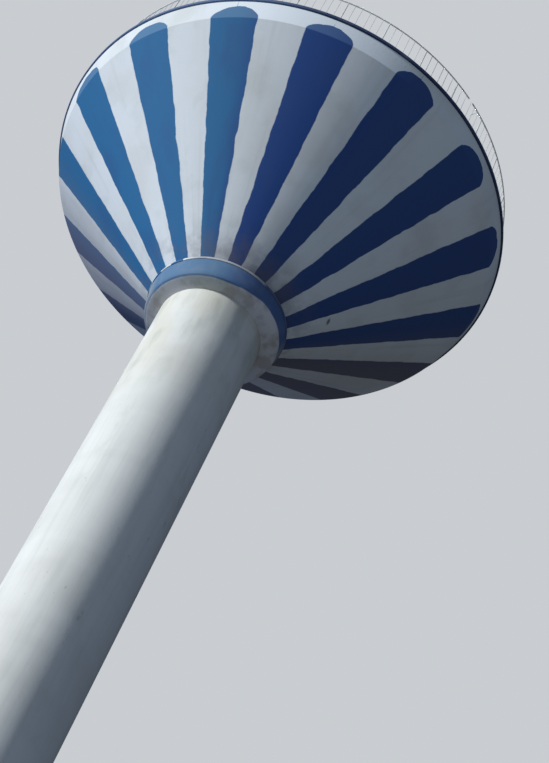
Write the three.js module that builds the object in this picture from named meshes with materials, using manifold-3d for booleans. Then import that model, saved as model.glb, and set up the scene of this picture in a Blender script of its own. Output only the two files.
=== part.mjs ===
// An inverted-cone water tower: a slip-formed concrete shaft with a support ring at its
// head, a tank whose lower shell is a cone on its point, a shallow roof and a guard rail.
// Millimetres, +Z up. The tower stands on z = 0 with its axis on Z and its door facing -Y.
import * as THREE from "three";
import { mergeVertices } from "three/addons/utils/BufferGeometryUtils.js";
import Module from "manifold-3d";

const wasm = await Module();
wasm.setup();

// The gap between neighbouring pieces, and the angle in degrees between two facets.
const SEAM = 0.3;
const FACET = 5;

// The shaft: outer radius, wall, and the number of upright segments it is built in.
const SHAFT_RADIUS = 1200;
const SHAFT_WALL = 180;
const SHAFT_SEGMENTS = 6;
const HEAD_ABOVE_ROOF = 1000;
const FLOOR_THICKNESS = 150;

// The doorway at the foot, its frame, its steel door, and the hatch in the shaft's head.
const DOORWAY_WIDTH = 900;
const DOORWAY_TOP = 2150;
const DOOR_FRAME_FACE = 50;
const DOOR_FRAME_DEPTH = 100;
const DOOR_FRAME_FRONT = -1100;
const DOOR_OVERLAP = 20;
const DOOR_THICKNESS = 40;
const HATCH_WIDTH = 600;
const HATCH_HEIGHT = 650;
const HATCH_SILL = 180;
const HATCH_THICKNESS = 30;
const HATCH_OVERLAP = 40;

// The support ring that carries the tank, 20 m over the ground. Its underside rises a little
// outwards, and its face leans out to the foot of the tank.
const RING_BOTTOM = 20000;
const RING_HEIGHT = 535;
const RING_RADIUS = 1630;
const RING_FOOT_RADIUS = 1560;
const RING_SOFFIT_RISE = 70;
const RING_SEGMENTS = 6;

// The tank: a thin foot that covers the ring's top and stands a little proud of it, the conical
// wall, which starts well inside the ring's edge, and a steeper band under the eave.
const TANK_SEGMENTS = 8;
const LIP_HEIGHT = 65;
const LIP_PROUD = 18;
const CONE_FOOT_RADIUS = 1408;
const CONE_RISE = 4090;
const CONE_RADIUS = 5380;
const CONE_WALL = 180;
const BAND_RISE = 480;
const BAND_RADIUS = 5535;
const BAND_WALL = 190;

// The roof: an edge that stands a little proud, a level walk behind it, a shallow cone.
const EAVE_RADIUS = 5575;
const EAVE_THICKNESS = 100;
const WALK_WIDTH = 840;
const ROOF_PITCH = 20;
const ROOF_THICKNESS = 120;

// The cap over the shaft's head, and the lightning rod on it.
const CAP_RADIUS = 1500;
const CAP_EDGE = 80;
const CAP_RISE = 270;
const CAP_CROWN_RADIUS = 110;
const ROD_HEIGHT = 1500;
const ROD_FOOT_RADIUS = 28;
const ROD_TIP_RADIUS = 10;
const ROD_PLATE_RADIUS = 90;
const ROD_PLATE_THICKNESS = 12;

// The guard rail of steel pipe: eight panels of four posts. The hand rail is parted at one
// joint, and a short stay runs inwards from it a little past the break.
const RAIL_PANELS = 8;
const RAIL_RADIUS = 5370;
const RAIL_HEIGHT = 1055;
const RAIL_PIPE_RADIUS = 17;
const LOW_RAIL_HEIGHT = 130;
const LOW_RAIL_RADIUS = 11;
const POSTS_PER_PANEL = 4;
const POST_RADIUS = 15;
const POST_PLATE_RADIUS = 55;
const POST_PLATE_THICKNESS = 8;
const RAIL_JOINT_ANGLE = 31.5;
const BREAK_HALF_ANGLE = 0.7;
const STAY_ANGLE = 34.9;
const STAY_LENGTH = 200;
const STAY_RADIUS = 12;
const PIPE_SIDES = 6;
const PLATE_SIDES = 8;

// Heights and slopes that follow from the sizes above.
const ringTop = RING_BOTTOM + RING_HEIGHT;
const coneFoot = ringTop + LIP_HEIGHT;
const coneTop = coneFoot + CONE_RISE;
const eaveBottom = coneTop + BAND_RISE;
const walkLevel = eaveBottom + EAVE_THICKNESS;
const walkRadius = EAVE_RADIUS - WALK_WIDTH;
const roofSlope = Math.tan(THREE.MathUtils.degToRad(ROOF_PITCH));
const roofInnerRadius = SHAFT_RADIUS + SEAM;
const roofTop = walkLevel + (walkRadius - roofInnerRadius) * roofSlope;
const headTop = roofTop + HEAD_ABOVE_ROOF;
const capBottom = headTop + SEAM;
const capTop = capBottom + CAP_EDGE + CAP_RISE;
const doorSillTop = FLOOR_THICKNESS;

const whitePaint = { color: 0xdfe3e2, roughness: 0.75, metalness: 0 };
const bluePaint = { color: 0x2f6796, roughness: 0.7, metalness: 0 };
const rawConcrete = { color: 0x9a978c, roughness: 0.95, metalness: 0 };
const steelPaint = { color: 0x55646c, roughness: 0.55, metalness: 0.6 };

// Turns a geometry into a solid that can be joined and cut.
function solidOf(geometry) {
  const bare = geometry.clone();
  bare.deleteAttribute("normal");
  bare.deleteAttribute("uv");
  const merged = mergeVertices(bare, 1e-3);
  return new wasm.Manifold(
    new wasm.Mesh({
      numProp: 3,
      vertProperties: new Float32Array(merged.attributes.position.array),
      triVerts: new Uint32Array(merged.index.array),
    }),
  );
}

// Turns a solid back into a geometry.
function geometryOf(solid) {
  const mesh = solid.getMesh();
  return new THREE.BufferGeometry()
    .setAttribute("position", new THREE.BufferAttribute(mesh.vertProperties, 3))
    .setIndex(new THREE.BufferAttribute(mesh.triVerts, 1));
}

function joined(geometries) {
  return geometryOf(geometries.map(solidOf).reduce((whole, next) => whole.add(next)));
}

function cut(geometry, cutter) {
  return geometryOf(solidOf(geometry).subtract(solidOf(cutter)));
}

function common(geometry, other) {
  return geometryOf(solidOf(geometry).intersect(solidOf(other)));
}

// Revolves a closed outline of [radius, height] points, drawn with its outer face going up,
// through part of a turn. Angles are degrees from the front, -Y, turning towards +X.
function ringSector(outline, from, to) {
  const points = outline.map(([radius, height]) => new THREE.Vector2(radius, height));
  const steps = Math.max(1, Math.round((to - from) / FACET));
  const start = THREE.MathUtils.degToRad(from);
  const end = THREE.MathUtils.degToRad(to);
  const skin = new THREE.LatheGeometry([...points, points[0]], steps, start, end - start);
  const lastRow = steps * (points.length + 1);
  const faces = THREE.ShapeUtils.triangulateShape(points, []);
  const startCap = faces.flat();
  const endCap = faces.flatMap(([a, b, c]) => [lastRow + c, lastRow + b, lastRow + a]);
  skin.setIndex([...skin.index.array, ...startCap, ...endCap]);
  return skin.rotateX(Math.PI / 2);
}

// Revolves an outline that starts and ends on the axis through a whole turn.
function turned(outline, steps) {
  const points = outline.map(([radius, height]) => new THREE.Vector2(radius, height));
  return new THREE.LatheGeometry(points, steps).rotateX(Math.PI / 2);
}

function rectangle(innerRadius, outerRadius, bottom, top) {
  return [
    [outerRadius, bottom],
    [outerRadius, top],
    [innerRadius, top],
    [innerRadius, bottom],
  ];
}

// A box given by its lowest and highest corners.
function block(low, high) {
  const size = low.map((value, axis) => high[axis] - value);
  const middle = low.map((value, axis) => (high[axis] + value) / 2);
  return new THREE.BoxGeometry(...size).translate(...middle);
}

const tower = new THREE.Group();
tower.name = "water_tower";

function addPiece(parent, name, geometry, finish) {
  const material = new THREE.MeshStandardMaterial({ ...finish, flatShading: true });
  const mesh = new THREE.Mesh(geometry, material);
  mesh.name = name;
  parent.add(mesh);
  return mesh;
}

// Adds the segments of a whole ring, each a hair short of its neighbours.
function addRing(parent, name, outline, count, widestRadius, finish) {
  const sweep = 360 / count;
  const trim = THREE.MathUtils.radToDeg(SEAM / 2 / widestRadius);
  for (let i = 0; i < count; i += 1) {
    const from = i * sweep + trim;
    const to = (i + 1) * sweep - trim;
    addPiece(parent, `${name}_${i + 1}`, ringSector(outline, from, to), finish);
  }
}

function shaftSector(from, to, bottom, top) {
  const trim = THREE.MathUtils.radToDeg(SEAM / 2 / SHAFT_RADIUS);
  const outline = rectangle(SHAFT_RADIUS - SHAFT_WALL, SHAFT_RADIUS, bottom, top);
  return ringSector(outline, from + trim, to - trim);
}

// The shaft wall: the front segment starts over the doorway, with a jamb on each side of it.
function addShaft() {
  const shaft = new THREE.Group();
  const sweep = 360 / SHAFT_SEGMENTS;
  const names = ["front", "front_right", "back_right", "back", "back_left", "front_left"];
  names.forEach((side, i) => {
    const from = (i - 0.5) * sweep;
    const bottom = side === "front" ? DOORWAY_TOP : 0;
    let wall = shaftSector(from, from + sweep, bottom, headTop);
    if (side === "back") wall = cut(wall, hatchOpening());
    addPiece(shaft, `shaft_wall_${side}`, wall, whitePaint);
  });
  const half = DOORWAY_WIDTH / 2;
  const doorway = block([-half, -SHAFT_RADIUS * 2, -1], [half, 0, DOORWAY_TOP + 1]);
  const jambTop = DOORWAY_TOP - SEAM;
  const left = cut(shaftSector(-sweep / 2, 0, 0, jambTop), doorway);
  const right = cut(shaftSector(0, sweep / 2, 0, jambTop), doorway);
  addPiece(shaft, "shaft_jamb_left", left, whitePaint);
  addPiece(shaft, "shaft_jamb_right", right, whitePaint);
  tower.add(shaft);
}

// The floor inside the shaft and the sill in the doorway, both cast down to the ground.
function addFloor() {
  const ground = new THREE.Group();
  const radius = SHAFT_RADIUS - SHAFT_WALL - SEAM;
  const outline = [[0, 0], [radius, 0], [radius, FLOOR_THICKNESS], [0, FLOOR_THICKNESS]];
  addPiece(ground, "floor_slab", turned(outline, 360 / FACET), rawConcrete);
  const half = DOORWAY_WIDTH / 2 - SEAM;
  const sill = common(
    shaftSector(-180 / SHAFT_SEGMENTS, 180 / SHAFT_SEGMENTS, 0, FLOOR_THICKNESS),
    block([-half, -SHAFT_RADIUS * 2, -1], [half, 0, FLOOR_THICKNESS + 1]),
  );
  addPiece(ground, "door_sill", sill, rawConcrete);
  tower.add(ground);
}

// The door frame is an upside-down U of steel, and the door closes against its face.
function addDoor() {
  const door = new THREE.Group();
  door.position.y = DOOR_FRAME_FRONT;
  const half = DOORWAY_WIDTH / 2 - SEAM;
  const bottom = doorSillTop + SEAM;
  const top = DOORWAY_TOP - SEAM;
  const clearHalf = half - DOOR_FRAME_FACE;
  const clearTop = top - DOOR_FRAME_FACE;
  const frame = joined([
    block([-half, 0, bottom], [-clearHalf, DOOR_FRAME_DEPTH, top]),
    block([clearHalf, 0, bottom], [half, DOOR_FRAME_DEPTH, top]),
    block([-clearHalf - 1, 0, clearTop], [clearHalf + 1, DOOR_FRAME_DEPTH, top]),
  ]);
  addPiece(door, "door_frame", frame, steelPaint);
  const leafHalf = clearHalf + DOOR_OVERLAP;
  const leafTop = clearTop + DOOR_OVERLAP;
  const leaf = block([-leafHalf, -DOOR_THICKNESS, bottom], [leafHalf, 0, leafTop]);
  addPiece(door, "door_leaf", leaf.translate(0, -SEAM, 0), steelPaint);
  tower.add(door);
}

function hatchOpening() {
  const half = HATCH_WIDTH / 2;
  const bottom = roofTop + HATCH_SILL;
  return block([-half, 0, bottom], [half, SHAFT_RADIUS * 2, bottom + HATCH_HEIGHT]);
}

// The hatch from the shaft's head to the roof: a steel plate on the outside of the wall.
function addHatch() {
  const half = HATCH_WIDTH / 2 + HATCH_OVERLAP;
  const bottom = roofTop + HATCH_SILL - HATCH_OVERLAP;
  const top = bottom + HATCH_HEIGHT + 2 * HATCH_OVERLAP;
  const inner = SHAFT_RADIUS + SEAM;
  const plate = common(
    ringSector(rectangle(inner, inner + HATCH_THICKNESS, bottom, top), 150, 210),
    block([-half, 0, bottom - 1], [half, SHAFT_RADIUS * 2, top + 1]),
  );
  addPiece(tower, "head_hatch", plate, steelPaint);
}

function addSupportRing() {
  const ring = new THREE.Group();
  const inner = SHAFT_RADIUS + SEAM;
  const outline = [
    [RING_FOOT_RADIUS, RING_BOTTOM + RING_SOFFIT_RISE],
    [RING_RADIUS, ringTop],
    [inner, ringTop],
    [inner, RING_BOTTOM],
  ];
  addRing(ring, "support_ring", outline, RING_SEGMENTS, RING_RADIUS, bluePaint);
  tower.add(ring);
}

// The tank's wall: foot, cone and band in one outline, so each segment is one casting. Its inner
// face ends against the shaft.
function addTank() {
  const tank = new THREE.Group();
  const slope = Math.atan2(CONE_RISE, CONE_RADIUS - CONE_FOOT_RADIUS);
  const levelWall = CONE_WALL / Math.sin(slope);
  const inner = SHAFT_RADIUS + SEAM;
  const innerFoot = coneFoot + (inner + levelWall - CONE_FOOT_RADIUS) * Math.tan(slope);
  const bandInner = BAND_RADIUS - BAND_WALL;
  const kneeRadius = CONE_RADIUS - levelWall + CONE_WALL * Math.tan(slope / 2);
  const kneeHeight = coneTop + (kneeRadius - CONE_RADIUS + levelWall) * Math.tan(slope);
  const outline = [
    [RING_RADIUS + LIP_PROUD, ringTop + SEAM],
    [RING_RADIUS + LIP_PROUD, coneFoot],
    [CONE_FOOT_RADIUS, coneFoot],
    [CONE_RADIUS, coneTop],
    [BAND_RADIUS, eaveBottom - SEAM],
    [bandInner, eaveBottom - SEAM],
    [kneeRadius, kneeHeight],
    [inner, innerFoot],
    [inner, ringTop + SEAM],
  ];
  addRing(tank, "tank_wall", outline, TANK_SEGMENTS, BAND_RADIUS, whitePaint);
  tower.add(tank);
}

// The roof slab: its blue edge, the level walk and the cone up to the shaft's head.
function addRoof() {
  const roof = new THREE.Group();
  const levelThickness = ROOF_THICKNESS / Math.cos(THREE.MathUtils.degToRad(ROOF_PITCH));
  const soffitRadius = walkRadius - (levelThickness - EAVE_THICKNESS) / roofSlope;
  const outline = [
    [EAVE_RADIUS, eaveBottom],
    [EAVE_RADIUS, walkLevel],
    [walkRadius, walkLevel],
    [roofInnerRadius, roofTop],
    [roofInnerRadius, roofTop - levelThickness],
    [soffitRadius, eaveBottom],
  ];
  addRing(roof, "roof_panel", outline, TANK_SEGMENTS, EAVE_RADIUS, rawConcrete);
  tower.add(roof);
}

function addCap() {
  const outline = [
    [0, capBottom],
    [CAP_RADIUS, capBottom],
    [CAP_RADIUS, capBottom + CAP_EDGE],
    [CAP_CROWN_RADIUS, capTop],
    [0, capTop],
  ];
  addPiece(tower, "shaft_cap", turned(outline, 360 / FACET), rawConcrete);
  const foot = capTop + SEAM;
  const rodOutline = [
    [0, foot],
    [ROD_PLATE_RADIUS, foot],
    [ROD_PLATE_RADIUS, foot + ROD_PLATE_THICKNESS],
    [ROD_FOOT_RADIUS, foot + ROD_PLATE_THICKNESS],
    [ROD_TIP_RADIUS, foot + ROD_HEIGHT],
    [0, foot + ROD_HEIGHT],
  ];
  addPiece(tower, "lightning_rod", turned(rodOutline, 2 * PIPE_SIDES), steelPaint);
}

// A pipe bent to a circle round the tower's axis, or part of one.
function bentPipe(radius, height, pipeRadius, from, to) {
  const outline = [];
  for (let i = 0; i < PIPE_SIDES; i += 1) {
    const turn = ((i + 0.5) * 2 * Math.PI) / PIPE_SIDES;
    outline.push([radius + pipeRadius * Math.cos(turn), height + pipeRadius * Math.sin(turn)]);
  }
  return ringSector(outline, from, to);
}

// Turns a geometry made at the front of the tower, on -Y, round to an angle.
function atAngle(geometry, angle) {
  return geometry.rotateZ(THREE.MathUtils.degToRad(angle));
}

function post(angle) {
  const foot = walkLevel + SEAM;
  const length = RAIL_HEIGHT - SEAM;
  const tube = new THREE.CylinderGeometry(POST_RADIUS, POST_RADIUS, length, PIPE_SIDES)
    .rotateX(Math.PI / 2)
    .translate(0, -RAIL_RADIUS, foot + length / 2);
  const plate = new THREE.CylinderGeometry(
    POST_PLATE_RADIUS,
    POST_PLATE_RADIUS,
    POST_PLATE_THICKNESS,
    PLATE_SIDES,
  )
    .rotateX(Math.PI / 2)
    .translate(0, -RAIL_RADIUS, foot + POST_PLATE_THICKNESS / 2);
  return [atAngle(tube, angle), atAngle(plate, angle)];
}

// The stay that runs inwards from the hand rail beside the break.
function railStay(height) {
  const stay = new THREE.CylinderGeometry(STAY_RADIUS, STAY_RADIUS, STAY_LENGTH, PIPE_SIDES)
    .translate(0, STAY_LENGTH / 2 - RAIL_RADIUS, height);
  return atAngle(stay, STAY_ANGLE);
}

// The first panel starts at the parted joint, and the last one ends there.
function addGuardRail() {
  const rail = new THREE.Group();
  const sweep = 360 / RAIL_PANELS;
  const trim = THREE.MathUtils.radToDeg(SEAM / 2 / RAIL_RADIUS);
  const handRail = walkLevel + RAIL_HEIGHT;
  const lowRail = walkLevel + LOW_RAIL_HEIGHT;
  for (let i = 0; i < RAIL_PANELS; i += 1) {
    const first = i === 0;
    const last = i === RAIL_PANELS - 1;
    const from = RAIL_JOINT_ANGLE + i * sweep;
    const to = from + sweep;
    const openFrom = from + (first ? BREAK_HALF_ANGLE : trim);
    const openTo = to - (last ? BREAK_HALF_ANGLE : trim);
    const pieces = [
      bentPipe(RAIL_RADIUS, handRail, RAIL_PIPE_RADIUS, openFrom, openTo),
      bentPipe(RAIL_RADIUS, lowRail, LOW_RAIL_RADIUS, from + trim, to - trim),
    ];
    for (let j = 0; j < POSTS_PER_PANEL; j += 1) {
      pieces.push(...post(from + ((j + 0.5) * sweep) / POSTS_PER_PANEL));
    }
    if (first) pieces.push(railStay(handRail));
    addPiece(rail, `guard_rail_${i + 1}`, joined(pieces), steelPaint);
  }
  tower.add(rail);
}

addFloor();
addShaft();
addDoor();
addSupportRing();
addTank();
addRoof();
addHatch();
addCap();
addGuardRail();

export default tower;
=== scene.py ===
# %% [markdown]
# # A water tower with an inverted-cone tank
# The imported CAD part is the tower's fixed frame. This script dresses it: smooth round shells over
# the faceted ones, the small repeated ironwork, and procedural paint, concrete and steel. All
# lengths are metres, +Z is up, and the tower's door faces -Y. Each step says what the real thing
# is, how it could be made in Blender, and why it is made this way here.

# %% Load the frame
import math

import bpy
import numpy as np
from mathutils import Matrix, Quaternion, Vector


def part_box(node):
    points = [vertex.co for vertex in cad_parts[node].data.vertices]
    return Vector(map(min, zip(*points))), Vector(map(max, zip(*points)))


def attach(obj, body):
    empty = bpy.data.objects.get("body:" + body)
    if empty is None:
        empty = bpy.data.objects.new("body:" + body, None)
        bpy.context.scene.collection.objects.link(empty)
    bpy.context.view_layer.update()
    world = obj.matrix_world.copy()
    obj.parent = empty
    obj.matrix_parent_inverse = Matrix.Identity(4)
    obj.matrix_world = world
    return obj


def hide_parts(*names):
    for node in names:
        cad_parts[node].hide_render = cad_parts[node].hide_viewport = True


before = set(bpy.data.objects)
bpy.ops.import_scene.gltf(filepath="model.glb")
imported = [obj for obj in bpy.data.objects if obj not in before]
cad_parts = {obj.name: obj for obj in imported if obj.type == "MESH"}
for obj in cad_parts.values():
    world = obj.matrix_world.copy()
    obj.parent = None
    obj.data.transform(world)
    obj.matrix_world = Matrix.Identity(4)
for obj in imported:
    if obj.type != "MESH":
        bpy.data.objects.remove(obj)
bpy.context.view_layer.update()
cad_nodes = sorted(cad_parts)

# %% [markdown]
# ## Sizes read from the frame
# Every shell has to lie exactly where its solid is, so the main sizes are read from the nodes'
# boxes. Only what a box can't say, such as the height of the knee in the tank's wall, is written
# as a number further down, in the same values as the CAD source has. Pieces that touch keep a
# seam between them, as the solids do.

# %% Read the main sizes
SEAM = 0.0003


def family(stem):
    """The CAD nodes whose names start with a stem."""
    return [name for name in cad_nodes if name.startswith(stem)]


def family_box(stem):
    """The lowest and highest corner of the CAD nodes whose names start with a stem."""
    corners = [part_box(name) for name in family(stem)]
    low = [min(low[axis] for low, _ in corners) for axis in range(3)]
    high = [max(high[axis] for _, high in corners) for axis in range(3)]
    return low, high


SHAFT_RADIUS, _, SHAFT_TOP = family_box("shaft_wall")[1]
RING_RADIUS, _, RING_TOP = family_box("support_ring")[1]
RING_BOTTOM = family_box("support_ring")[0][2]
BAND_RADIUS, _, TANK_TOP = family_box("tank_wall")[1]
EAVE_RADIUS, _, ROOF_TOP = family_box("roof_panel")[1]
EAVE_BOTTOM = family_box("roof_panel")[0][2]
print("shaft radius", round(SHAFT_RADIUS, 3), "ring radius", round(RING_RADIUS, 3))
print("band radius", round(BAND_RADIUS, 3), "eave radius", round(EAVE_RADIUS, 3))
print("ring", round(RING_BOTTOM, 3), round(RING_TOP, 3), "eave", round(EAVE_BOTTOM, 3))

# %% [markdown]
# ## Places on a round tower
# Nearly everything here is placed by a radius, a height and an angle. The angle is in degrees from
# the front, -Y, turning towards +X.

# %% Places round the axis
def on_circle(radius, angle, height):
    """A point at a radius and an angle from the front."""
    turn = math.radians(angle)
    return (radius * math.sin(turn), -radius * math.cos(turn), height)


def towards(angle, elevation):
    """The direction of an angle round the tower and an elevation over the horizon."""
    rise = math.radians(elevation)
    return on_circle(math.cos(rise), angle, math.sin(rise))


# %% [markdown]
# ## Camera
# The photograph was taken with a long lens from the ground, while the tower leant towards the
# right. Here the tower stands upright, so the same view is had from a camera that is low, looks up
# steeply and is rolled by the same lean. Its place, the point it aims at, its roll and its lens
# come from fitting the circles of the tank, ring and rail, and the straight edges of the tank's
# stripes, to the photograph.

# %% Place the camera
LENS_MM = 98.1
CAMERA_PLACE = Vector((0.0993, -30.2854, -15.0205))
CAMERA_AIM = Vector((1.793, 0.0, 19.614))
CAMERA_ROLL = math.radians(25.786)
CAMERA_REACH = 5000

camera = bpy.data.objects.new("camera", bpy.data.cameras.new("camera"))
bpy.context.scene.collection.objects.link(camera)
camera.data.lens = LENS_MM
camera.data.clip_end = CAMERA_REACH
camera.location = CAMERA_PLACE
camera.rotation_mode = "QUATERNION"
level_view = (CAMERA_AIM - CAMERA_PLACE).to_track_quat("-Z", "Y")
camera.rotation_quaternion = level_view @ Quaternion((0, 0, 1), CAMERA_ROLL)
bpy.context.scene.camera = camera
print("camera is", round((CAMERA_AIM - CAMERA_PLACE).length, 1), "m from the point it aims at")

# %% [markdown]
# ## Helpers for materials
# A material is a small graph of nodes. One function adds a node, applies its settings and links or
# sets its inputs, so each finish further down reads as a list of what it is made of. Colours are
# written as the hex values a paint chart gives, and one function turns them to linear light.

# %% Colour and node helpers
def linear(hex_colour):
    """Turns an sRGB hex colour into linear red, green, blue and alpha."""
    channels = [int(hex_colour[i:i + 2], 16) / 255 for i in (1, 3, 5)]
    light = [c / 12.92 if c <= 0.04045 else ((c + 0.055) / 1.055) ** 2.4 for c in channels]
    return (*light, 1.0)


def add_node(tree, kind, links=None, **settings):
    """Adds a node. Links is keyed by an input's name or number and holds values or nodes."""
    made = tree.nodes.new(kind)
    for name, value in settings.items():
        setattr(made, name, value)
    shown = [socket for socket in made.inputs if socket.enabled]
    for key, value in (links or {}).items():
        socket = shown[key] if isinstance(key, int) else next(s for s in shown if s.name == key)
        if isinstance(value, bpy.types.Node):
            value = next(s for s in value.outputs if s.enabled)
        if isinstance(value, bpy.types.NodeSocket):
            tree.links.new(value, socket)
        else:
            socket.default_value = value
    return made


def new_finish(name):
    """A material with nothing in it yet, and the node output that gives a point's place."""
    material = bpy.data.materials.new(name)
    material.use_nodes = True
    tree = material.node_tree
    tree.nodes.clear()
    place = add_node(tree, "ShaderNodeTexCoord").outputs["Object"]
    print("finish", name)
    return material, tree, place


# %% [markdown]
# ## Helpers for weathering
# All the paint and concrete here has stood outdoors for decades, and it weathers in the same few
# ways: broad cloudy patches, rain streaks that run down the surface, and a fine grain. They could
# be painted on an unwrapped image, but that would be blurred close by. Each is a noise texture on
# the object's own coordinates instead, divided by the real mark's width and height, so a streak is
# only a mark that is much higher than it is wide. Where the noise is low there is no mark, and
# where it is high the mark is full.

# %% Marks and grain
def soft_step(tree, value, start, end):
    """0 where a value is at its start, 1 at its end, and a smooth step between them."""
    return add_node(
        tree,
        "ShaderNodeMapRange",
        {"Value": value, "From Min": start, "From Max": end},
        interpolation_type="SMOOTHSTEP",
    )


def marks(tree, place, width_mm, height_mm, low, high, detail=3.0):
    """Marks of a real width and height: 0 where the noise is under low, and 1 over high."""
    per_mark = (1000 / width_mm, 1000 / width_mm, 1000 / height_mm)
    in_marks = add_node(tree, "ShaderNodeVectorMath", {0: place, 1: per_mark}, operation="MULTIPLY")
    noise = add_node(tree, "ShaderNodeTexNoise", {"Vector": in_marks, "Scale": 1.0, "Detail": detail})
    return soft_step(tree, noise.outputs["Fac"], low, high)


def grain(tree, place, size_mm, height_mm):
    """A bump of grains of a real size and height."""
    noise = add_node(
        tree, "ShaderNodeTexNoise", {"Vector": place, "Scale": 1000 / size_mm, "Detail": 2.0}
    )
    return add_node(
        tree,
        "ShaderNodeBump",
        {"Height": noise.outputs["Fac"], "Strength": 1.0, "Distance": height_mm / 1000},
    )


# %% [markdown]
# ## Helpers for where a finish changes
# Some finishes change with the height, and some from one side of the tower to the other: paint is
# drawn lighter on the side the key light reaches and darker on the side away from it, which is
# painted light and shade, and some sides are browner or greyer. A mask could be drawn for each
# piece. It is simpler to ask how high up a point is, and how far it is on one side of the tower,
# because the answer is then the same for every piece, and nothing has to be unwrapped.

# %% Height and side
def by_height(tree, place, start, end):
    """0 at one height, 1 at another, and a soft step between them."""
    height = add_node(tree, "ShaderNodeSeparateXYZ", {"Vector": place}).outputs["Z"]
    return soft_step(tree, height, start, end)


def from_axis(tree, place, wanted):
    """What is wanted of the level line from the tower's axis to a point."""
    level = add_node(tree, "ShaderNodeVectorMath", {0: place, 1: (1, 1, 0)}, operation="MULTIPLY")
    return add_node(tree, "ShaderNodeVectorMath", {0: level}, operation=wanted)


def outwards(tree, place):
    """The level direction from the tower's axis to a point."""
    return from_axis(tree, place, "NORMALIZE")


def on_side(tree, place, angle, start=0.4, end=0.8):
    """1 on the side of the tower that faces an angle, and 0 on the other."""
    facing = add_node(
        tree,
        "ShaderNodeVectorMath",
        {0: outwards(tree, place), 1: towards(angle, 0)},
        operation="DOT_PRODUCT",
    )
    return soft_step(tree, facing, start, end)


def both(tree, first, second):
    """Where two amounts meet."""
    return add_node(tree, "ShaderNodeMath", {0: first, 1: second}, operation="MULTIPLY")


# %% [markdown]
# ## Helpers for layers
# Dust, streaks and rust lie over the paint, one over another, and the finishes are written in the
# same way: from the paint up, each stain has its colour, where it lies, and how strong it is. Every
# finish here ends as a rough surface that isn't metal. Its IOR is the usual one of a paint film,
# which is also right for concrete.

# %% Layers
PAINT_IOR = 1.5


def blend_in(tree, under, over, amount, strength=1.0):
    """Lays one colour over another by an amount times a strength."""
    share = add_node(tree, "ShaderNodeMath", {0: amount, 1: strength}, operation="MULTIPLY")
    return add_node(
        tree,
        "ShaderNodeMix",
        {"Factor": share, "A": under, "B": over},
        data_type="RGBA",
    )


def stained(tree, colour, stains):
    """Lays stains over a colour. Each is a hex colour, where it lies, and how strong it is."""
    for stain, amount, strength in stains:
        colour = blend_in(tree, colour, linear(stain), amount, strength)
    return colour


def matt_finish(tree, colour, roughness, bump):
    """Ends a material's graph with a rough, non-metallic surface."""
    shader = add_node(
        tree,
        "ShaderNodeBsdfPrincipled",
        {"Base Color": colour, "Roughness": roughness, "IOR": PAINT_IOR, "Normal": bump},
    )
    add_node(tree, "ShaderNodeOutputMaterial", {"Surface": shader})


# %% [markdown]
# ## Helpers for meshes
# Nearly every piece of a water tower is round, so nearly every mesh here is an outline turned
# about the tower's axis. A Screw modifier would do the same, but a function can also turn a part
# of a circle and close its ends. A shape is a list of points and a list of faces, and one function
# makes a piece of it, hangs it on the body it rides on, gives it what it is made of, and hides the
# solids it stands for.

# %% Mesh helpers
SHARP_CREASE = 35
SHALLOW_CREASE = 12


def revolve(outline, start=0.0, end=360.0, step=1.0):
    """Turns a closed outline of (radius, height), its outer face going up, about the axis."""
    count = max(2, round((end - start) / step))
    whole = end - start >= 360
    angles = [start + (end - start) * i / count for i in range(count if whole else count + 1)]
    points = [on_circle(radius, angle, height) for angle in angles for radius, height in outline]
    size = len(outline)
    faces = []
    for i in range(count):
        row, following = i * size, ((i + 1) % len(angles)) * size
        for j in range(size):
            k = (j + 1) % size
            faces.append((row + j, following + j, following + k, row + k))
    if not whole:
        last = (len(angles) - 1) * size
        faces.append(tuple(range(size)))
        faces.append(tuple(last + j for j in reversed(range(size))))
    return points, faces


def make_piece(name, shape, material, stands_for=(), crease=SHARP_CREASE):
    """Makes an object of a shape, smooth but for edges sharper than the crease in degrees."""
    points, faces = shape
    mesh = bpy.data.meshes.new(name)
    mesh.from_pydata(points, [], faces)
    mesh.validate()
    mesh.polygons.foreach_set("use_smooth", [True] * len(mesh.polygons))
    mesh.set_sharp_from_angle(angle=math.radians(crease))
    mesh.materials.append(material)
    piece = bpy.data.objects.new(name, mesh)
    bpy.context.scene.collection.objects.link(piece)
    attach(piece, "root")
    if stands_for:
        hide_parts(*stands_for)
    print(name, "has", len(mesh.polygons), "faces")
    return piece


# %% [markdown]
# ## White masonry paint on a slip-formed shaft
# The shaft is concrete, cast in a form that slides up 250 mm at a time, and rolled with white
# masonry paint. The paint is chalky, so it is rough. To the eye it is nearly plain white: dust
# lies on it in broad patches, most of all under the ring, rain leaves faint grey streaks, and the
# form leaves faint level bands. The side away from the key light is painted greyer, which is painted
# shade. The bands are drawn 600 mm high, because the real lifts are too fine to show from this far.

# %% Shaft paint
WARM_WHITE_PAINT = "#EBEAE4"
RAIN_GREY = "#A3A6A2"
DUST_BEIGE = "#CFCBC0"
CREAM_DUST = "#D6CDB4"
MOSS_GREY = "#A4AC9E"
CHALKY_ROUGHNESS = 0.78
MASONRY_GRAIN_MM = (60, 1.5)
PAINTED_SHADE_ANGLE = 60.0
CREAM_FOOT = RING_BOTTOM - 5.0
CREAM_TOP = RING_BOTTOM - 0.5
LIFT_HEIGHT_MM = 600
ALL_ROUND_MM = 12000


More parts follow.
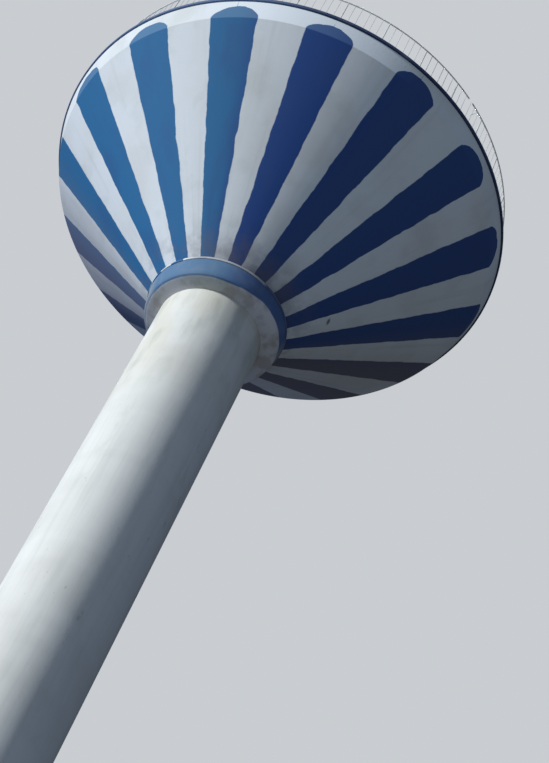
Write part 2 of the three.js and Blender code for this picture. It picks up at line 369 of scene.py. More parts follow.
def make_shaft_paint():
    """White masonry paint with dust, rain streaks, slip-form bands, a few mossy marks, and a greyer
    shaded side that is painted shade.
    """
    material, tree, place = new_finish("white_masonry_paint")
    under_ring = by_height(tree, place, CREAM_FOOT, CREAM_TOP)
    smudges = marks(tree, place, 420, 1300, 0.5, 0.68)
    stains = (
        (DUST_BEIGE, marks(tree, place, 1600, 1600, 0.42, 0.7), 0.3),
        (CREAM_DUST, both(tree, under_ring, marks(tree, place, 1300, 2200, 0.3, 0.6)), 0.5),
        (MOSS_GREY, both(tree, under_ring, smudges), 0.35),
        (RAIN_GREY, marks(tree, place, 240, 3400, 0.5, 0.75), 0.16),
        (RAIN_GREY, marks(tree, place, 90, 3000, 0.52, 0.7), 0.08),
        (RAIN_GREY, marks(tree, place, ALL_ROUND_MM, LIFT_HEIGHT_MM, 0.5, 0.62, 1.0), 0.05),
        (MOSS_GREY, marks(tree, place, 600, 1500, 0.62, 0.76), 0.25),
        (MOSS_GREY, marks(tree, place, 170, 420, 0.68, 0.74), 0.4),
        # Painted shade: the side away from the key light is greyer.
        (RAIN_GREY, on_side(tree, place, PAINTED_SHADE_ANGLE, 0.2, 0.8), 0.25),
    )
    colour = stained(tree, linear(WARM_WHITE_PAINT), stains)
    matt_finish(tree, colour, CHALKY_ROUGHNESS, grain(tree, place, *MASONRY_GRAIN_MM))
    return material


# %% [markdown]
# ## Shaft
# The real shaft is one casting with a doorway at its foot and a hatchway at its head. Cutting the
# two openings with a Boolean would leave long slivers that shade badly, so the wall is laid out as
# a grid of cells round the shaft: cells in an opening are left out, and the wall's thickness is
# closed wherever a cell borders an opening or the end of the wall. The sides of an opening are
# parallel, so they stand at a wider angle on the inner face than on the outer one.

# %% Shaft openings
DOORWAY_HALF = 0.45
DOORWAY_TOP = 2.15
HATCH_HALF = 0.3
HATCH_BOTTOM = ROOF_TOP + 0.18
HATCH_TOP = HATCH_BOTTOM + 0.65
SHAFT_OPENINGS = (
    # The angle of each, half its width, its bottom and its top.
    (0, DOORWAY_HALF, 0, DOORWAY_TOP),
    (180, HATCH_HALF, HATCH_BOTTOM, HATCH_TOP),
)


def opening_sides(outer, inner, openings):
    """The angle of each opening's sides on the outer face, with the one on the inner face."""
    sides = {-180.0: -180.0, 180.0: 180.0}
    for angle, half, _, _ in openings:
        for side in (-1, 1):
            at = [angle + side * math.degrees(math.asin(half / r)) for r in (outer, inner)]
            at = [a - 360 if a > 180 else a for a in at]
            sides[at[0]] = at[1]
    return sides


def in_opening(angle, height, outer, openings):
    """Whether a place on the wall lies in one of its openings."""
    for at, half, low, high in openings:
        away = abs((angle - at + 180) % 360 - 180)
        if away < math.degrees(math.asin(half / outer)) and low < height < high:
            return True
    return False


# %% Shaft wall
SHAFT_WALL = 0.18
NARROWEST_CELL_ANGLE = 0.3


def wall_with_openings(outer, inner, bottom, top, openings):
    """A tube whose openings have parallel sides, as a formed doorway has."""
    edges = opening_sides(outer, inner, openings)
    outer_edges = sorted(edges)
    inner_edges = [edges[a] for a in outer_edges]
    angles = sorted(set(outer_edges) | {float(a) for a in range(-180, 180)})
    angles = [a for a in angles if a in edges or min(abs(a - e) for e in edges) > NARROWEST_CELL_ANGLE]
    angles.remove(180.0)
    heights = sorted({bottom, top} | {z for o in openings for z in o[2:]})
    columns, rows = len(angles), len(heights)

    def is_open(column, row):
        if not 0 <= row < rows - 1:
            return True
        angle = (angles[column % columns] + (angles + [180.0])[column % columns + 1]) / 2
        height = (heights[row] + heights[row + 1]) / 2
        return in_opening(angle, height, outer, openings)

    points = []
    for radius, turned_to in ((outer, angles), (inner, np.interp(angles, outer_edges, inner_edges))):
        points += [on_circle(radius, a, z) for z in heights for a in turned_to]
    layer = columns * rows

    def corner(column, row, skin):
        return skin * layer + row * columns + column % columns

    faces = []
    for row in range(rows - 1):
        for column in range(columns):
            if is_open(column, row):
                continue
            a, b = (column, row), (column + 1, row)
            c, d = (column + 1, row + 1), (column, row + 1)
            faces.append(tuple(corner(*p, 0) for p in (a, b, c, d)))
            faces.append(tuple(corner(*p, 1) for p in (d, c, b, a)))
            sides = (
                (a, b, is_open(column, row - 1)),
                (b, c, is_open(column + 1, row)),
                (c, d, is_open(column, row + 1)),
                (d, a, is_open(column - 1, row)),
            )
            for start, end, bare in sides:
                if bare:
                    rim = (corner(*end, 0), corner(*start, 0), corner(*start, 1), corner(*end, 1))
                    faces.append(rim)
    return points, faces


make_piece(
    "shaft_shell",
    wall_with_openings(SHAFT_RADIUS, SHAFT_RADIUS - SHAFT_WALL, 0.0, SHAFT_TOP, SHAFT_OPENINGS),
    make_shaft_paint(),
    family("shaft_wall") + family("shaft_jamb"),
)

# %% [markdown]
# ## Paint on the support ring
# The ring under the tank is a reinforced beam round the shaft. Its face leans out to the tank's
# foot and has the stripes' blue masonry paint, painted lighter on the side the key light reaches and
# darker on the other: that is painted light and shade. Its underside was only limewashed, and has
# gone grey with olive and brown damp marks. One material paints both.
# The painter's line isn't on the ring's corner: on the sunny side the blue laps under it, and on
# the shaded side it stops short. So the line is a length along the ring's profile, taken as the
# sum of a point's radius and height, and a slow noise makes it uneven. The photograph also shows
# one short dark navy mark at the line, a little left of the front. A single mark like that is a
# soft ball round a point, and its reach along each axis makes it long or flat.

# %% Helpers for hand-drawn lines and single marks
MARK_CORE = 0.3


def by_hand(tree, place, length_mm, reach):
    """How far a painter's hand is off its line: a smooth noise of a real length and reach."""
    noise = add_node(
        tree, "ShaderNodeTexNoise", {"Vector": place, "Scale": 1000 / length_mm, "Detail": 4.0}
    )
    return add_node(
        tree, "ShaderNodeMapRange", {"Value": noise.outputs["Fac"], "To Min": -reach, "To Max": reach}
    )


def one_mark(tree, place, centre, reach):
    """One soft oval mark: 1 round its centre, and 0 beyond its reach along each axis."""
    off = add_node(tree, "ShaderNodeVectorMath", {0: place, 1: centre}, operation="SUBTRACT")
    in_reach = add_node(tree, "ShaderNodeVectorMath", {0: off, 1: reach}, operation="DIVIDE")
    far = add_node(tree, "ShaderNodeVectorMath", {0: in_reach}, operation="LENGTH")
    return soft_step(tree, far, 1.0, MARK_CORE)


# %% Blue on the ring
RING_SHADED_BLUE = "#46628F"
RING_LIT_BLUE = "#56799B"
SUNNY_ANGLE = -72.0
FAR_SUNNY_ANGLE = -115.0
FAR_SHADY_ANGLE = 115.0


def ring_blue(tree, place):
    """The stripes' blue, painted lighter on the lit side and darker on the shaded one, and greyer at
    the back left and back right.
    """
    stains = (
        # Painted light and shade: the blue is lighter on the side the key light falls on and deeper
        # navy on the other.
        (RING_LIT_BLUE, on_side(tree, place, SUNNY_ANGLE, 0.2, 0.6), 1.0),
        (RAIN_GREY, marks(tree, place, 500, 500, 0.45, 0.7), 0.1),
        (RAIN_GREY, marks(tree, place, 160, 800, 0.55, 0.75), 0.1),
        # Greyer towards the back left and back right sides.
        (RAIN_GREY, on_side(tree, place, FAR_SUNNY_ANGLE, 0.75, 0.95), 0.6),
        (RAIN_GREY, on_side(tree, place, FAR_SHADY_ANGLE, 0.7, 0.95), 0.8),
    )
    return stained(tree, linear(RING_SHADED_BLUE), stains)


# %% The painter's line
RING_FOOT_RADIUS = 1.56
RING_SOFFIT_RISE = 0.07
RING_CORNER = RING_FOOT_RADIUS + RING_BOTTOM + RING_SOFFIT_RISE
BLUE_LAPS_UNDER = 0.07
BLUE_STOPS_SHORT = 0.15
STOPS_SHORT_ANGLE = 90.0
LINE_WOBBLE_LENGTH_MM = 300
LINE_WOBBLE = 0.03
LINE_SOFTNESS = 0.025


def under_blue(tree, place):
    """1 on the side of the painter's line that has no blue, and 0 on the blue."""
    height = add_node(tree, "ShaderNodeSeparateXYZ", {"Vector": place}).outputs["Z"]
    radius = from_axis(tree, place, "LENGTH")
    along = add_node(tree, "ShaderNodeMath", {0: radius, 1: height}, operation="ADD")
    wobble = by_hand(tree, place, LINE_WOBBLE_LENGTH_MM, LINE_WOBBLE)
    uneven = add_node(tree, "ShaderNodeMath", {0: along, 1: wobble}, operation="ADD")
    line = add_node(
        tree,
        "ShaderNodeMapRange",
        {
            "Value": on_side(tree, place, STOPS_SHORT_ANGLE, -0.2, 0.8),
            "To Min": RING_CORNER - BLUE_LAPS_UNDER,
            "To Max": RING_CORNER + BLUE_STOPS_SHORT,
        },
    )
    short_of = add_node(tree, "ShaderNodeMath", {0: line, 1: uneven}, operation="SUBTRACT")
    return soft_step(tree, short_of, -LINE_SOFTNESS, LINE_SOFTNESS)


# %% Ring paint
OLD_LIMEWASH = "#D9D6D5"
DAMP_BROWN = "#8A7868"
DAMP_DARK = "#6B6860"
MOSSY_ANGLE = -40.0
DARK_MARK_NAVY = "#22304E"
DARK_MARK_PLACE = on_circle(RING_FOOT_RADIUS, -10, RING_BOTTOM + 0.03)
DARK_MARK_REACH = (0.17, 0.06, 0.08)
DARK_MARK_STRENGTH = 0.6
RING_GRAIN_MM = (50, 1.5)


def make_ring_paint():
    """Blue paint on the ring's face with painted light and shade, and stained limewash on its
    underside.
    """
    material, tree, place = new_finish("blue_masonry_paint_lit_and_shaded")
    mossy_side = on_side(tree, place, MOSSY_ANGLE, 0.5, 0.9)
    lime_stains = (
        (MOSS_GREY, both(tree, mossy_side, marks(tree, place, 900, 900, 0.3, 0.6)), 0.6),
        (DAMP_BROWN, marks(tree, place, 420, 420, 0.5, 0.68), 0.4),
        (DAMP_DARK, marks(tree, place, 330, 330, 0.54, 0.7), 0.3),
        # The underside is a little darker on the side the key light comes from.
        (DAMP_DARK, on_side(tree, place, SUNNY_ANGLE, 0.4, 1.0), 0.15),
    )
    lime = stained(tree, linear(OLD_LIMEWASH), lime_stains)
    colour = blend_in(tree, ring_blue(tree, place), lime, under_blue(tree, place))
    dark_mark = one_mark(tree, place, DARK_MARK_PLACE, DARK_MARK_REACH)
    colour = blend_in(tree, colour, linear(DARK_MARK_NAVY), dark_mark, DARK_MARK_STRENGTH)
    matt_finish(tree, colour, CHALKY_ROUGHNESS, grain(tree, place, *RING_GRAIN_MM))
    return material


# %% [markdown]
# ## Support ring
# The ring's edges are worn, and its lower corner was cast well rounded. A Bevel modifier would
# round all of them alike, so the outline's corners are rounded before it is turned: first the
# lower corner with a wide arc, and then every corner with a small one.

# %% Ring shell
ROUNDED_CORNER = 0.08
RING_WEAR = 0.01


def soften(outline, radius):
    """Rounds the corners of an outline with an arc of three points each."""
    rounded = []
    corners = [Vector(corner) for corner in outline]
    for i, corner in enumerate(corners):
        before = corners[i - 1] - corner
        after = corners[(i + 1) % len(corners)] - corner
        reach = min(radius, before.length / 3, after.length / 3)
        first = corner + before.normalized() * reach
        last = corner + after.normalized() * reach
        middle = (first + last) / 4 + corner / 2
        rounded += [tuple(first), tuple(middle), tuple(last)]
    return rounded


ring_outline = [
    (RING_FOOT_RADIUS, RING_BOTTOM + RING_SOFFIT_RISE),
    (RING_RADIUS, RING_TOP),
    (SHAFT_RADIUS + SEAM, RING_TOP),
    (SHAFT_RADIUS + SEAM, RING_BOTTOM),
]
lower_arc = soften(ring_outline, ROUNDED_CORNER)[:3]
make_piece(
    "support_ring",
    revolve(soften(lower_arc + ring_outline[1:], RING_WEAR)),
    make_ring_paint(),
    family("support_ring"),
)

# %% [markdown]
# ## Striped tank
# The tank's wall is one concrete shell: a thin white foot that covers the ring's top, a cone that
# starts well behind the ring's edge, and a steeper band under the eave. It is painted white with
# fifteen blue stripes that widen with the cone and end in a low arch on the band. The stripes are
# paint, not shape, so they belong in the material: cut as faces, they would have hard clean edges.
# The angle round the axis picks the stripe, the height sets how wide it is, and a slow noise moves
# the edges and the arches as a hand with a brush does. On the thin foot, the stripes run down over
# the sunny side, the front is left white, and the shaded side has the ring's blue.

# %% Tank heights and how wide a stripe is
LIP_HEIGHT = 0.065
CONE_FOOT = RING_TOP + LIP_HEIGHT
CONE_RISE = 4.09
CONE_TOP = CONE_FOOT + CONE_RISE
STRIPE_HALF_AT_FOOT = math.radians(6.1)
STRIPE_HALF_AT_RIM = math.radians(6.0)
TIP_HEIGHT = 0.31
TIP_SQUARENESS = 1.9
TIP_WOBBLE = 0.12
TIP_WOBBLE_LENGTH_MM = 650


def stripe_width(tree, place, height):
    """Half the angle that a stripe takes up at a height: wider with the cone, then an arch."""
    half = add_node(
        tree,
        "ShaderNodeMapRange",
        {
            "Value": height,
            "From Min": CONE_FOOT,
            "From Max": CONE_TOP,
            "To Min": STRIPE_HALF_AT_FOOT,
            "To Max": STRIPE_HALF_AT_RIM,
        },
    )
    uneven = by_hand(tree, place, TIP_WOBBLE_LENGTH_MM, TIP_WOBBLE)
    up_tip = add_node(
        tree,
        "ShaderNodeMapRange",
        {
            "Value": add_node(tree, "ShaderNodeMath", {0: height, 1: uneven}, operation="ADD"),
            "From Min": CONE_TOP,
            "From Max": CONE_TOP + TIP_HEIGHT,
        },
    )
    power = add_node(tree, "ShaderNodeMath", {0: up_tip, 1: TIP_SQUARENESS}, operation="POWER")
    rest = add_node(tree, "ShaderNodeMath", {0: 1.0, 1: power}, operation="SUBTRACT")
    arch = add_node(tree, "ShaderNodeMath", {0: rest, 1: 1 / TIP_SQUARENESS}, operation="POWER")
    return add_node(tree, "ShaderNodeMath", {0: half, 1: arch}, operation="MULTIPLY")


# %% Where the stripes are
STRIPE_COUNT = 15
STRIPE_PITCH = math.radians(360 / STRIPE_COUNT)
FIRST_STRIPE = math.radians(-8)
EDGE_WOBBLE = 0.05
EDGE_WOBBLE_LENGTH_MM = 420
BRUSH_SOFTNESS = 0.012
STRIPED_LIP_ANGLE = -130.0


def stripe_amount(tree, place):
    """1 on a blue stripe and 0 beside it."""
    across = add_node(tree, "ShaderNodeSeparateXYZ", {"Vector": place})
    x, y, height = (across.outputs[axis] for axis in "XYZ")
    turn = add_node(tree, "ShaderNodeMath", {0: y, 1: x}, operation="ARCTAN2")
    first = FIRST_STRIPE - math.pi / 2
    from_first = add_node(tree, "ShaderNodeMath", {0: turn, 1: first}, operation="SUBTRACT")
    off_centre = add_node(
        tree, "ShaderNodeMath", {0: from_first, 1: STRIPE_PITCH / 2}, operation="PINGPONG"
    )
    inside = add_node(
        tree,
        "ShaderNodeMath",
        {0: stripe_width(tree, place, height), 1: off_centre},
        operation="SUBTRACT",
    )
    radius = from_axis(tree, place, "LENGTH")
    arc = add_node(tree, "ShaderNodeMath", {0: inside, 1: radius}, operation="MULTIPLY")
    wobble = by_hand(tree, place, EDGE_WOBBLE_LENGTH_MM, EDGE_WOBBLE)
    edge = add_node(tree, "ShaderNodeMath", {0: arc, 1: wobble}, operation="ADD")
    brushed = soft_step(tree, edge, -BRUSH_SOFTNESS, BRUSH_SOFTNESS)
    over_lip = add_node(
        tree, "ShaderNodeMath", {0: height, 1: CONE_FOOT + SEAM}, operation="GREATER_THAN"
    )
    run_down = on_side(tree, place, STRIPED_LIP_ANGLE, 0.08, 0.16)
    painted = add_node(tree, "ShaderNodeMath", {0: over_lip, 1: run_down}, operation="MAXIMUM")
    return both(tree, brushed, painted)


# %% [markdown]
# ## Paint on the tank
# Both colours are the same kind of masonry paint as the shaft's. The blue is painted navy on the
# side away from the key light and a clear, lighter blue on the lit side, most of all on the steep
# band: lit and shaded copies of one blue, which is painted light and shade. Rain runs down the cone,
# so its streaks follow the stripes: their noise is read at a place that stays the same all the way
# down the wall, instead of at the point itself. Grime gathers at the cone's foot, and the foot is
# darker still in front; the back right side is browner, and the back left side greyer. In front,
# where the lit and the shaded sides meet, one stripe is painted a deeper blue as painted shade, and
# the band is painted whiter as a painted highlight. One short dark scratch lies low on the shaded
# side.

# %% White with its weathering
WHITE_PAINT = "#E7EAEA"
BAND_HIGHLIGHT_WHITE = "#F2F6FA"
BAND_HIGHLIGHT_ANGLE = -12.0
BAND_PAINT_FOOT = CONE_TOP - 0.01
BAND_PAINT_TOP = CONE_TOP + 0.02
MIDDLE_RADIUS = 3.4


def down_the_wall(tree, place):
    """A place that moves round the tank and up it, but not outwards with the cone."""
    height = add_node(tree, "ShaderNodeVectorMath", {0: place, 1: (0, 0, 1)}, operation="MULTIPLY")
    return add_node(
        tree,
        "ShaderNodeVectorMath",
        {0: outwards(tree, place), 1: (MIDDLE_RADIUS,) * 3, 2: height},
        operation="MULTIPLY_ADD",
    )


def tank_white(tree, place, wall, on_band):
    """White masonry paint with dust and rain streaks, and a painted highlight on the band in front."""
    # Painted highlight: the steep band in front is painted whiter.
    band_highlight = both(tree, on_band, on_side(tree, place, BAND_HIGHLIGHT_ANGLE, 0.83, 0.985))
    stains = (
        (DUST_BEIGE, marks(tree, place, 1500, 1500, 0.42, 0.7), 0.3),
        (MOSS_GREY, marks(tree, place, 700, 700, 0.52, 0.68), 0.12),
        (RAIN_GREY, marks(tree, wall, 180, 3000, 0.52, 0.75), 0.14),
        (BAND_HIGHLIGHT_WHITE, band_highlight, 0.85),
    )
    return stained(tree, linear(WHITE_PAINT), stains)


# %% Blue, painted lit and shaded
SHADY_BLUE = "#2F4D85"
PAINTED_LIT_BLUE = "#1D6A9B"
TIP_HIGHLIGHT_BLUE = "#6E8CA6"
LIGHT_TO_SHADE_BLUE = "#18478C"
LIGHT_TO_SHADE_ANGLE = -8.0
BACK_RIGHT_BROWN = "#75736E"


def tank_blue(tree, place, wall, on_band, browner_side):
    """The stripes' blue: painted navy on the shaded side and lighter on the lit side, and browner at
    the back right.
    """
    # Painted highlight: the stripes' tips on the steep band are lighter on the lit side.
    tip_highlight = both(tree, on_band, on_side(tree, place, SUNNY_ANGLE, 0.1, 0.6))
    stains = (
        # Painted light: the blue is lighter on the side the key light falls on, and the navy under it
        # is the shaded copy.
        (PAINTED_LIT_BLUE, on_side(tree, place, SUNNY_ANGLE), 1.0),
        # Painted shade: the front stripe, where the lit side turns to the shaded one, gets its own
        # deeper blue.
        (LIGHT_TO_SHADE_BLUE, on_side(tree, place, LIGHT_TO_SHADE_ANGLE, 0.92, 0.98), 1.0),
        (SHADY_BLUE, marks(tree, wall, 500, 1100, 0.48, 0.7), 0.3),
        (TIP_HIGHLIGHT_BLUE, tip_highlight, 0.4),
        # Browner at the back right.
        (BACK_RIGHT_BROWN, browner_side, 0.55),
    )
    return stained(tree, linear(SHADY_BLUE), stains)


# %% Tank paint
BLUE_LIP_ANGLE = 100.0
BROWNER_SIDE_ANGLE = 145.0
BACK_LEFT_GREY = "#85868F"
GREYER_SIDE_ANGLE = -145.0
GRIME_BROWN = "#645F68"
GRIME_TOP = CONE_FOOT + 1.0
GRIME_FULL = CONE_FOOT + 0.1
FRONT_DARKENING_TOP = CONE_FOOT + 0.75
FRONT_DARKENING_FULL = CONE_FOOT + 0.05
DARKER_FRONT_ANGLE = 5.0
SCRATCH_GREY = "#3A3C42"
SCRATCH_PLACE = on_circle(2.355, 74.3, 21.575)
SCRATCH_REACH = (0.06, 0.14, 0.06)


def make_tank_paint():
    """White paint with blue stripes, grime at the cone's foot, a darker foot in front, and browner and
    greyer back sides.
    """
    material, tree, place = new_finish("striped_masonry_paint")
    wall = down_the_wall(tree, place)
    on_band = by_height(tree, place, BAND_PAINT_FOOT, BAND_PAINT_TOP)
    browner_side = on_side(tree, place, BROWNER_SIDE_ANGLE, 0.5, 0.9)
    white = tank_white(tree, place, wall, on_band)
    blue = tank_blue(tree, place, wall, on_band, browner_side)
    paint = blend_in(tree, white, blue, stripe_amount(tree, place))
    on_lip = by_height(tree, place, CONE_FOOT + 2 * SEAM, CONE_FOOT + SEAM)
    blue_lip = both(tree, on_lip, on_side(tree, place, BLUE_LIP_ANGLE, 0.14, 0.24))
    paint = blend_in(tree, paint, ring_blue(tree, place), blue_lip)
    near_foot = by_height(tree, place, GRIME_TOP, GRIME_FULL)
    in_front = on_side(tree, place, DARKER_FRONT_ANGLE, 0.58, 0.87)
    front_foot = by_height(tree, place, FRONT_DARKENING_TOP, FRONT_DARKENING_FULL)
    weather = (
        # Browner at the back right.
        (DAMP_BROWN, browner_side, 0.25),
        # Greyer at the back left.
        (BACK_LEFT_GREY, on_side(tree, place, GREYER_SIDE_ANGLE, 0.7, 1.0), 0.45),
        (GRIME_BROWN, both(tree, near_foot, marks(tree, place, 380, 380, 0.42, 0.62)), 0.35),
        # Darker along the cone's foot in front.
        (GRIME_BROWN, both(tree, front_foot, in_front), 0.45),
        (SCRATCH_GREY, one_mark(tree, place, SCRATCH_PLACE, SCRATCH_REACH), 0.8),
    )
    paint = stained(tree, paint, weather)
    matt_finish(tree, paint, CHALKY_ROUGHNESS, grain(tree, place, *MASONRY_GRAIN_MM))
    return material


# %% [markdown]
# ## Tank shell
# The cone's wall is equally thick from its foot to the band, so its inner face is the outer one
# moved in by the wall's thickness. The points where it meets the shaft and where it turns up into
# the band follow from the cone's slope. A Solidify modifier would give the same wall, but not the
# thin foot, the level top and the seam at the shaft, so the whole section is drawn and turned.

# %% Tank section
LIP_PROUD = 0.018
CONE_FOOT_RADIUS = 1.408
CONE_RADIUS = 5.38
CONE_WALL = 0.18
BAND_WALL = 0.19
TANK_WEAR = 0.008

cone_slope = math.atan2(CONE_RISE, CONE_RADIUS - CONE_FOOT_RADIUS)
level_wall = CONE_WALL / math.sin(cone_slope)
inner_radius = SHAFT_RADIUS + SEAM
inner_foot = CONE_FOOT + (inner_radius + level_wall - CONE_FOOT_RADIUS) * math.tan(cone_slope)
knee_radius = CONE_RADIUS - level_wall + CONE_WALL * math.tan(cone_slope / 2)
knee_height = CONE_TOP + (knee_radius - CONE_RADIUS + level_wall) * math.tan(cone_slope)
tank_outline = [
    (RING_RADIUS + LIP_PROUD, RING_TOP + SEAM),
    (RING_RADIUS + LIP_PROUD, CONE_FOOT),
    (CONE_FOOT_RADIUS, CONE_FOOT),
    (CONE_RADIUS, CONE_TOP),
    (BAND_RADIUS, TANK_TOP),
    (BAND_RADIUS - BAND_WALL, TANK_TOP),
    (knee_radius, knee_height),
    (inner_radius, inner_foot),
    (inner_radius, RING_TOP + SEAM),
]
print("cone slope", round(math.degrees(cone_slope), 1), "degrees")
make_piece(
    "tank_shell",
    revolve(soften(tank_outline, TANK_WEAR)),
    make_tank_paint(),
    family("tank_wall"),
    crease=SHALLOW_CREASE,
)

# %% [markdown]
# ## Weathered concrete
# The roof, the cap on the shaft's head, the sill and the floor are bare concrete: rough, pale grey
# where it is dry, and darkened by damp in broad patches and by lichen in small ones. The roof also
# has a navy edge that stands a little proud of the tank, so its finish is the same concrete with a
# navy paint under the level of the walk.

# %% Concrete finishes
SCREED_GREY = "#9A978D"
LICHEN_DARK = "#5B5A50"
EAVE_NAVY = "#24375C"
EAVE_LIT_BLUE = "#62779A"
CONCRETE_ROUGHNESS = 0.92
CONCRETE_GRAIN_MM = (40, 2)
EAVE_THICKNESS = 0.1
WALK_LEVEL = EAVE_BOTTOM + EAVE_THICKNESS
EAVE_PAINT_FROM = WALK_LEVEL - 0.002
EAVE_PAINT_FULL = WALK_LEVEL - 0.006


def concrete_colour(tree, place):
    """Grey concrete with damp patches and spots of lichen."""
    stains = (
        (RAIN_GREY, marks(tree, place, 1800, 1800, 0.35, 0.7), 0.6),
        (LICHEN_DARK, marks(tree, place, 1100, 1100, 0.4, 0.75, 6.0), 0.3),
        (LICHEN_DARK, marks(tree, place, 260, 260, 0.5, 0.75, 6.0), 0.25),
        (LICHEN_DARK, marks(tree, place, 45, 45, 0.56, 0.72), 0.25),
    )
    return stained(tree, linear(SCREED_GREY), stains)


def make_bare_concrete():
    """Concrete as it came out of its form, weathered."""
    material, tree, place = new_finish("weathered_concrete")
    colour = concrete_colour(tree, place)
    matt_finish(tree, colour, CONCRETE_ROUGHNESS, grain(tree, place, *CONCRETE_GRAIN_MM))
    return material


def make_roof_concrete():
    """The same concrete on the roof, with navy paint on the eave's edge and overhang."""
    material, tree, place = new_finish("weathered_screed")
    eave_stains = (
        # Painted light: the eave's blue is lighter on the side the key light falls on.
        (EAVE_LIT_BLUE, on_side(tree, place, SUNNY_ANGLE), 0.8),
        (RAIN_GREY, marks(tree, place, 400, 400, 0.5, 0.8), 0.2),
    )
    navy = stained(tree, linear(EAVE_NAVY), eave_stains)
    painted = by_height(tree, place, EAVE_PAINT_FROM, EAVE_PAINT_FULL)
    colour = blend_in(tree, concrete_colour(tree, place), navy, painted)
    matt_finish(tree, colour, CONCRETE_ROUGHNESS, grain(tree, place, *CONCRETE_GRAIN_MM))
    return material


# %% [markdown]
# ## Roof slab
# Behind the eave the roof is level for the width of a walk, and then rises to the shaft as a
# shallow cone. It is one casting, so it is one outline, turned as the tank's wall is. The edge
# between the walk and the cone is a blunt one that has to show, so the crease is set low.

# %% Roof section
WALK_WIDTH = 0.84
WALK_RADIUS = EAVE_RADIUS - WALK_WIDTH
ROOF_THICKNESS = 0.12
ROOF_PITCH = math.radians(20)
ROOF_WEAR = 0.01

level_thickness = ROOF_THICKNESS / math.cos(ROOF_PITCH)
soffit_radius = WALK_RADIUS - (level_thickness - EAVE_THICKNESS) / math.tan(ROOF_PITCH)
roof_outline = [
    (EAVE_RADIUS, EAVE_BOTTOM),
    (EAVE_RADIUS, WALK_LEVEL),
    (WALK_RADIUS, WALK_LEVEL),
    (inner_radius, ROOF_TOP),
    (inner_radius, ROOF_TOP - level_thickness),
    (soffit_radius, EAVE_BOTTOM),
]
make_piece(
    "roof_slab",
    revolve(soften(roof_outline, ROOF_WEAR)),
    make_roof_concrete(),
    family("roof_panel"),
    crease=SHALLOW_CREASE,
)

# %% [markdown]
# ## Paint on the ironwork
# The rail and the rod have aluminium paint, and the door has grey oil paint. Both are brushed on
# mild steel, so they shine a little more than the masonry paint, and rust comes through them in
# spots and runs. Both start near one level of noise, so one value per paint sets how rusty it is:
# the higher it is, the less rust there is.

# %% Ironwork paint
RAIL_PAINT = "#D9DCDD"
RAIL_RUST_FROM = 0.64
DOOR_PAINT = "#5C7078"
DOOR_RUST_FROM = 0.62
RUST = "#6A4430"
SPOT_SPREAD = 0.07
RUST_RUN = "#8C7361"
RUN_SPREAD = 0.1
PAINTED_STEEL_ROUGHNESS = 0.5
STEEL_GRAIN_MM = (25, 0.6)


def make_steel_paint(name, paint, rust_from):
    """Brushed paint on mild steel, with runs and spots of rust where a noise is over a value."""
    material, tree, place = new_finish(name)
    spots = marks(tree, place, 80, 110, rust_from, rust_from + SPOT_SPREAD, 8.0)
    runs = marks(tree, place, 60, 700, rust_from - SPOT_SPREAD, rust_from + RUN_SPREAD, 5.0)
    stains = (
        (RAIN_GREY, marks(tree, place, 300, 900, 0.45, 0.7), 0.35),
        (RUST_RUN, runs, 0.5),
        (RUST, spots, 0.8),
    )
    colour = stained(tree, linear(paint), stains)
    matt_finish(tree, colour, PAINTED_STEEL_ROUGHNESS, grain(tree, place, *STEEL_GRAIN_MM))
    return material


rail_paint = make_steel_paint("aluminium_paint_on_steel", RAIL_PAINT, RAIL_RUST_FROM)
door_paint = make_steel_paint("oil_paint_on_steel", DOOR_PAINT, DOOR_RUST_FROM)
bare_concrete = make_bare_concrete()

# %% [markdown]
# ## Cap and lightning rod
# The shaft's head is closed by a low concrete cone with a drip edge, and a tapered steel rod
# stands on it. Both are turned about the axis with finer steps than the CAD solids. Their outlines
# start and end on the axis, where the turned points would all lie in one place, so one point at
# the foot and one at the top close them. A bevel rounds the edges, because there it can be the
# same all over.

# %% Helpers for solids on the axis
def turned(outline, step=2.0):
    """Turns an outline that starts and ends on the axis, at its foot and its top, into a solid."""
    skin = outline[1:-1]
    points, faces = revolve(skin, step=step)
    size = len(skin)
    count = len(points) // size
    faces = [face for i, face in enumerate(faces) if i % size != size - 1]
    foot, top = len(points), len(points) + 1
    points += [(0, 0, outline[0][1]), (0, 0, outline[-1][1])]
    for i in range(count):
        row, following = i * size, ((i + 1) % count) * size
        faces.append((foot, following, row))
        faces.append((row + size - 1, following + size - 1, top))
    return points, faces


def round_edges(piece, width):
    """Rounds a piece's sharp edges, as a tool, a form or a brush leaves them."""
    bevel = piece.modifiers.new("worn_edges", "BEVEL")
    bevel.width = width
    bevel.segments = 2
    bevel.limit_method = "ANGLE"
    bevel.harden_normals = True


# %% Cap
CAP_BOTTOM, CAP_TOP = (corner[2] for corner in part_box("shaft_cap"))
CAP_EDGE = 0.08
CAP_RADIUS = 1.5
CAP_CROWN_RADIUS = 0.11
CAP_WEAR = 0.008

cap_outline = [
    (0, CAP_BOTTOM),
    (CAP_RADIUS, CAP_BOTTOM),
    (CAP_RADIUS, CAP_BOTTOM + CAP_EDGE),
    (CAP_CROWN_RADIUS, CAP_TOP),
    (0, CAP_TOP),
]
cap = make_piece("head_cap", turned(cap_outline), bare_concrete, ["shaft_cap"])
round_edges(cap, CAP_WEAR)

# %% Lightning rod
ROD_FOOT, ROD_TOP = (corner[2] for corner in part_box("lightning_rod"))
ROD_PLATE_RADIUS = 0.09
ROD_PLATE_THICKNESS = 0.012
ROD_FOOT_RADIUS = 0.028
ROD_TIP_RADIUS = 0.01
ROD_STEP = 10
ROD_WEAR = 0.002

